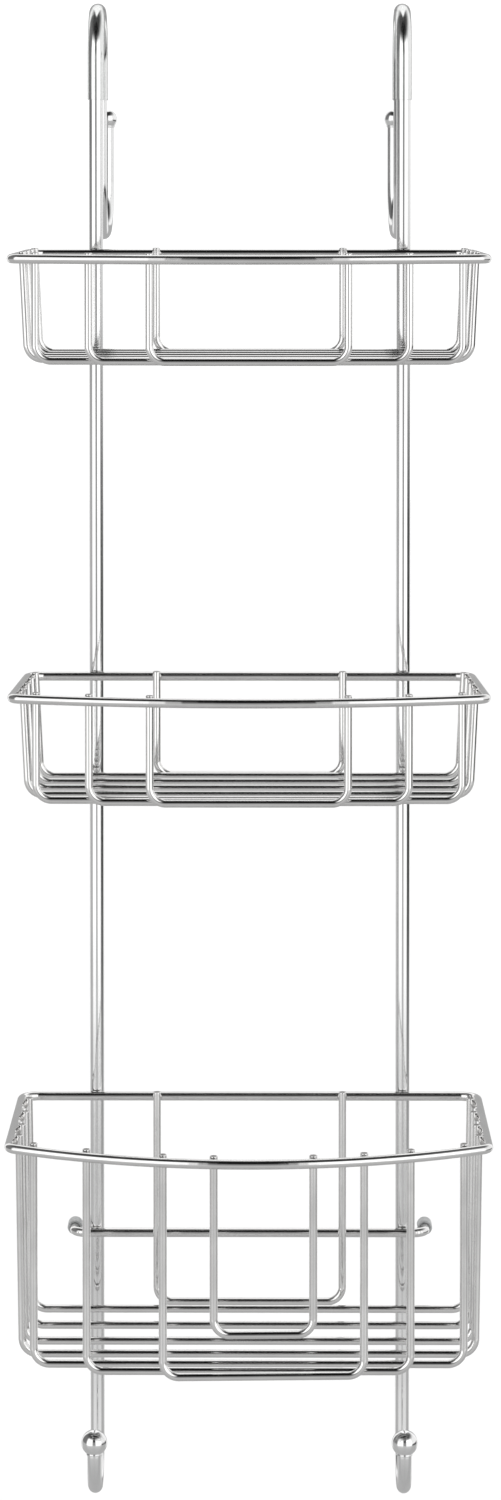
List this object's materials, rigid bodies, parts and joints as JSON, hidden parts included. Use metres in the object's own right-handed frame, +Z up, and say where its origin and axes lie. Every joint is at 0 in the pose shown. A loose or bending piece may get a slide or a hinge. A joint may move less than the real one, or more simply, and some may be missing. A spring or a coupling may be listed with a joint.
{
  "type": "shower caddy",
  "caption": "Over-the-door shower caddy of chromed steel wire: bow-fronted baskets welded between two hooked uprights.",
  "frame": {"origin": "middle of the door's top edge: midway between the two door hooks, midway across the door gap, at the underside of the sleeved arches' crown", "axes": "+X to the right as a person faces the baskets, +Y back towards the door, +Z up along the uprights"},
  "size_m": [0.231, 0.2508, 0.737],
  "materials": {
    "chrome_rod": "satin-bright chrome plate on drawn steel rod",
    "chrome_wire": "satin-bright chrome plate on drawn steel wire",
    "chrome_ball": "polished chrome plate",
    "clear_sleeve": "clear soft PVC tube, faintly green",
    "grey_cap": "cloudy grey soft PVC"
  },
  "bodies": {
    "root": {"left_upright_rod": "chrome_rod", "left_hook_sleeve": "clear_sleeve", "left_front_hook_ball": "chrome_ball", "left_rear_hook_ball": "chrome_ball", "left_bumper_cap": "grey_cap", "right_upright_rod": "chrome_rod", "right_hook_sleeve": "clear_sleeve", "right_front_hook_ball": "chrome_ball", "right_rear_hook_ball": "chrome_ball", "right_bumper_cap": "grey_cap", "bumper_bar": "chrome_wire", "bottom_front_loop_short": "chrome_wire", "top_rim": "chrome_wire", "top_floor_wire_1": "chrome_wire", "top_floor_wire_2": "chrome_wire", "top_floor_wire_3": "chrome_wire", "top_floor_wire_4": "chrome_wire", "top_rear_loop": "chrome_wire", "top_front_loop_outer": "chrome_wire", "top_front_loop_middle": "chrome_wire", "top_front_loop_inner": "chrome_wire", "middle_rim": "chrome_wire", "middle_floor_wire_1": "chrome_wire", "middle_floor_wire_2": "chrome_wire", "middle_floor_wire_3": "chrome_wire", "middle_floor_wire_4": "chrome_wire", "middle_rear_loop": "chrome_wire", "middle_front_loop_outer": "chrome_wire", "middle_front_loop_middle": "chrome_wire", "middle_front_loop_inner": "chrome_wire", "bottom_rim": "chrome_wire", "bottom_floor_wire_1": "chrome_wire", "bottom_floor_wire_2": "chrome_wire", "bottom_floor_wire_3": "chrome_wire", "bottom_floor_wire_4": "chrome_wire", "bottom_rear_loop": "chrome_wire", "bottom_front_loop_outer": "chrome_wire", "bottom_front_loop_middle": "chrome_wire", "bottom_front_loop_inner": "chrome_wire"}
  },
  "joints": []
}
